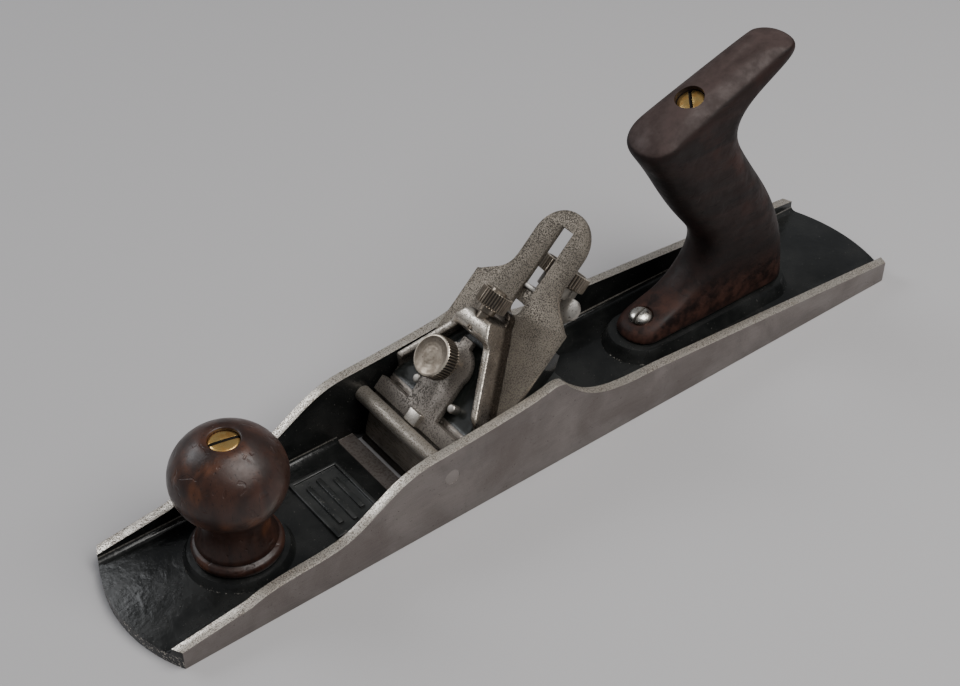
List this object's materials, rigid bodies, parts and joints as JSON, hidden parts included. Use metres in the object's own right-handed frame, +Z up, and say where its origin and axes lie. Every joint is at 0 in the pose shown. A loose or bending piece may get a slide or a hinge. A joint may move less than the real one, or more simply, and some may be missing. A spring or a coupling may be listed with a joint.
{
  "type": "hand plane",
  "caption": "Metal bench plane with a cast bed, wooden knob and tote, slotted cutter bedded at 45 degrees, dished cap, clamp lever with thumbscrew, and depth and side adjusters.",
  "frame": {"origin": "centre of the sole, on the sole plane", "axes": "+X along the sole from toe to heel, +Y to the plane's right side, +Z up"},
  "size_m": [0.3556, 0.0604, 0.1264],
  "materials": {
    "japanned_iron": "gloss black baked enamel with ground sides and sole",
    "ground_steel": "ground, aged brown-grey satin",
    "pitted_steel": "pitted and cleaned",
    "cap_iron": "worn bright rims with a dark enamelled panel",
    "knurled_steel": "knurled, aged",
    "plain_steel": "dull, oiled",
    "nickel": "nickel plate",
    "brass": "aged brass",
    "knob_wood": "gloss varnished rosewood",
    "tote_wood": "worn satin rosewood"
  },
  "bodies": {
    "bed": {"bed": "japanned_iron", "cross_pin": "pitted_steel", "front_knob": "knob_wood", "knob_stud": "plain_steel", "knob_nut": "brass", "tote": "tote_wood", "tote_rod": "plain_steel", "tote_nut": "brass", "tote_screw": "nickel", "frog": "japanned_iron", "frog_washers": "plain_steel", "frog_screws": "plain_steel", "adjuster_bracket": "plain_steel", "bracket_screws": "plain_steel", "side_pivot": "plain_steel"},
    "depth_gear": {"depth_gear": "knurled_steel"},
    "depth_carriage": {"depth_screw": "plain_steel", "depth_finger": "ground_steel"},
    "cutter": {"cutter": "pitted_steel", "stop_plate": "pitted_steel", "side_stud": "plain_steel"},
    "cap": {"cap": "cap_iron", "guide_studs": "ground_steel"},
    "cap_screw": {"cap_screw": "knurled_steel"},
    "side_lever": {"side_lever": "ground_steel"},
    "clamp_lever": {"clamp_lever": "pitted_steel"},
    "swivel_foot": {"swivel_foot": "plain_steel"},
    "thumbscrew": {"thumbscrew": "knurled_steel"}
  },
  "joints": [
    {"name": "depth_slide", "type": "slide", "parent": "bed", "child": "depth_carriage", "axis": [-0.7071, 0, -0.7071], "range_m": [-0.002, 0.001]},
    {"name": "depth_gear_turn", "type": "hinge", "parent": "bed", "child": "depth_gear", "pos_m": [0.01557, 0, 0.05919], "axis": [-0.7071, 0, -0.7071], "range_deg": [-724, 364]},
    {"name": "side_lever_swing", "type": "hinge", "parent": "bed", "child": "side_lever", "pos_m": [-0.01533, 0, 0.03889], "axis": [-0.7071, 0, 0.7071], "range_deg": [-1.8, 1.8]},
    {"name": "cutter_tilt", "type": "hinge", "parent": "depth_carriage", "child": "cutter", "pos_m": [-0.00119, 0, 0.06081], "axis": [-0.7071, 0, 0.7071], "range_deg": [-0.45, 0.45]},
    {"name": "cap_set", "type": "slide", "parent": "cutter", "child": "cap", "axis": [-0.7071, 0, -0.7071], "range_m": [-0.0005, 0.0005]},
    {"name": "cap_screw_turn", "type": "hinge", "parent": "cap", "child": "cap_screw", "pos_m": [-0.01724, 0, 0.06272], "axis": [-0.7071, 0, -0.7071], "range_deg": [-184, 184]},
    {"name": "foot_slide", "type": "slide", "parent": "clamp_lever", "child": "swivel_foot", "axis": [0.7071, 0, -0.7071], "range_m": [-0.0005, 0.001]},
    {"name": "clamp_tilt", "type": "hinge", "parent": "bed", "child": "clamp_lever", "pos_m": [-0.0594, 0, 0.0219], "axis": [0, -1, 0], "range_deg": [-1, 2]},
    {"name": "thumbscrew_turn", "type": "hinge", "parent": "swivel_foot", "child": "thumbscrew", "pos_m": [-0.04248, 0, 0.0478], "axis": [0.7071, 0, -0.7071], "range_deg": [-184, 364]}
  ],
  "couplings": [
    {"joint": "depth_gear_turn", "follows": "depth_slide", "rad_per_m": 6283.2},
    {"joint": "cutter_tilt", "follows": "side_lever_swing", "ratio": 0.22727},
    {"joint": "cap_screw_turn", "follows": "cap_set", "rad_per_m": 6283.2},
    {"joint": "thumbscrew_turn", "follows": "foot_slide", "rad_per_m": 6283.2},
    {"joint": "clamp_tilt", "follows": "foot_slide", "rad_per_m": 33.03}
  ]
}
